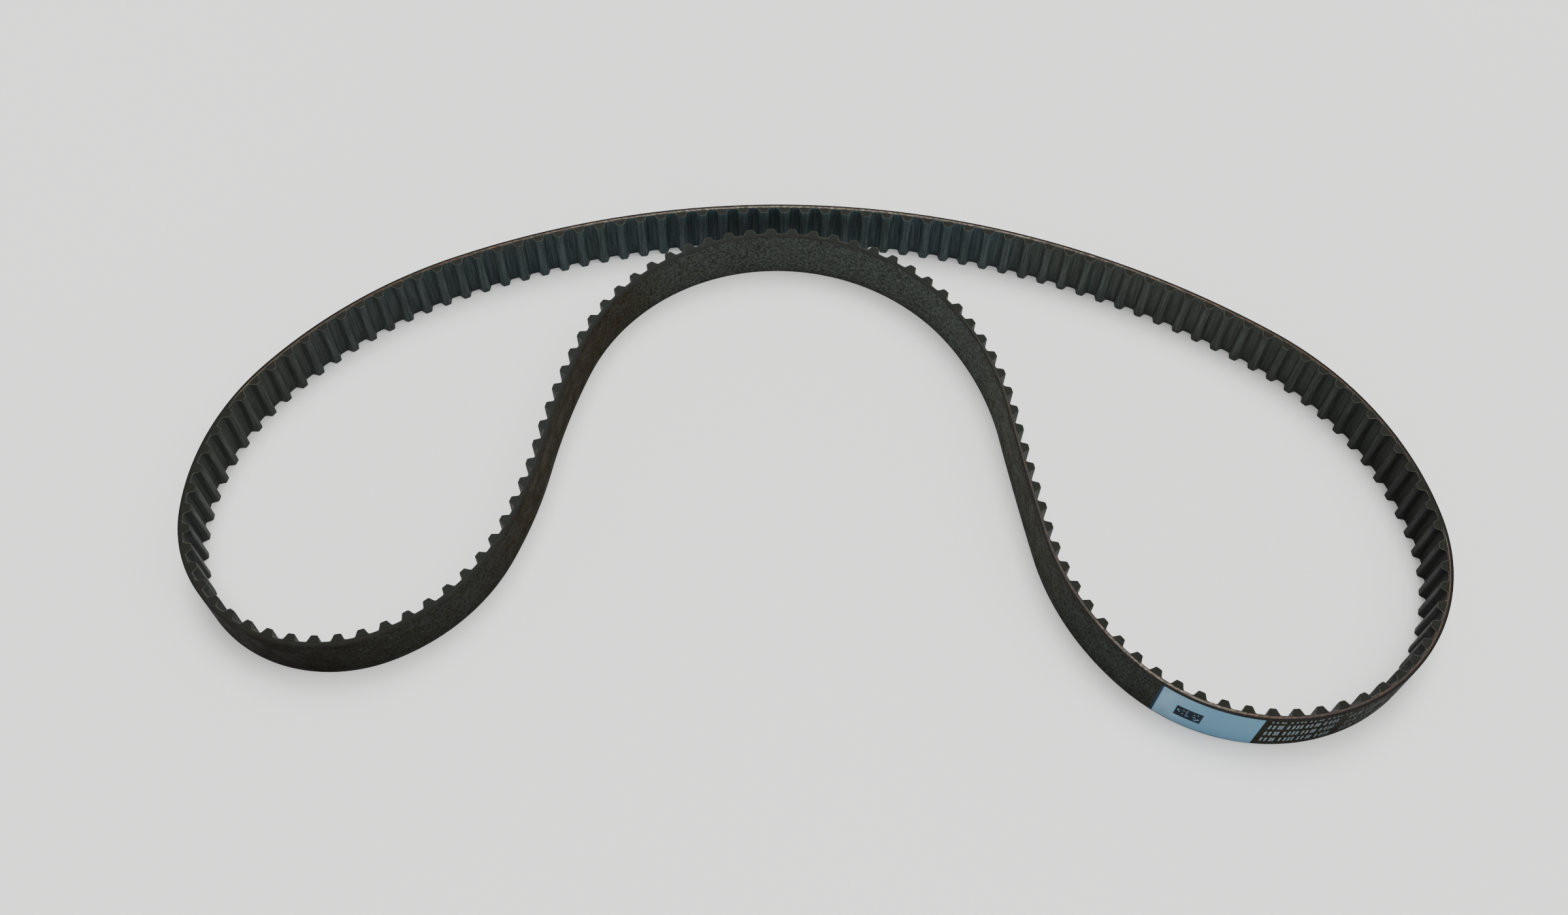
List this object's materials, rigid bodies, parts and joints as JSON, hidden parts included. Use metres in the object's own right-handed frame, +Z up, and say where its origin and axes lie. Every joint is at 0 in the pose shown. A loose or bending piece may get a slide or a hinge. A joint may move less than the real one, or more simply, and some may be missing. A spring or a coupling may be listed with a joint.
{
  "type": "timing belt",
  "caption": "Endless toothed rubber timing belt standing on its cut edge in a loose kidney-shaped loop, teeth inside, with a pale printed patch on its smooth back.",
  "frame": {"origin": "under the middle of the loop's bounding box, on the surface that the belt's lower cut edge stands on", "axes": "+Z up, across the belt's width; +X to the right, along the loop's longest extent; -Y towards the open bay between the two lobes"},
  "size_m": [0.519, 0.2478, 0.0254],
  "materials": {
    "backing_rubber": "matte black moulded rubber with a fine ground texture",
    "core_rubber": "brown-black rubber, cut smooth at the belt's edges",
    "glass_cord": "twisted glass-fibre cord in a tan resin dip",
    "nylon_facing": "blue-black twill-woven nylon bonded to the teeth",
    "pale_ink": "matte pale blue-grey transfer print",
    "dark_ink": "matte dark print",
    "grey_ink": "matte grey-white print"
  },
  "bodies": {
    "root": {"backing_rubber": "backing_rubber", "cord_bed_rubber": "core_rubber", "s_twist_glass_cord": "glass_cord", "z_twist_glass_cord": "glass_cord", "tooth_cores": "core_rubber", "facing_fabric": "nylon_facing", "label_patch": "pale_ink", "label_code": "dark_ink", "print_row_1": "grey_ink", "print_row_2": "grey_ink", "print_row_3": "grey_ink", "print_row_4": "grey_ink"}
  },
  "joints": []
}
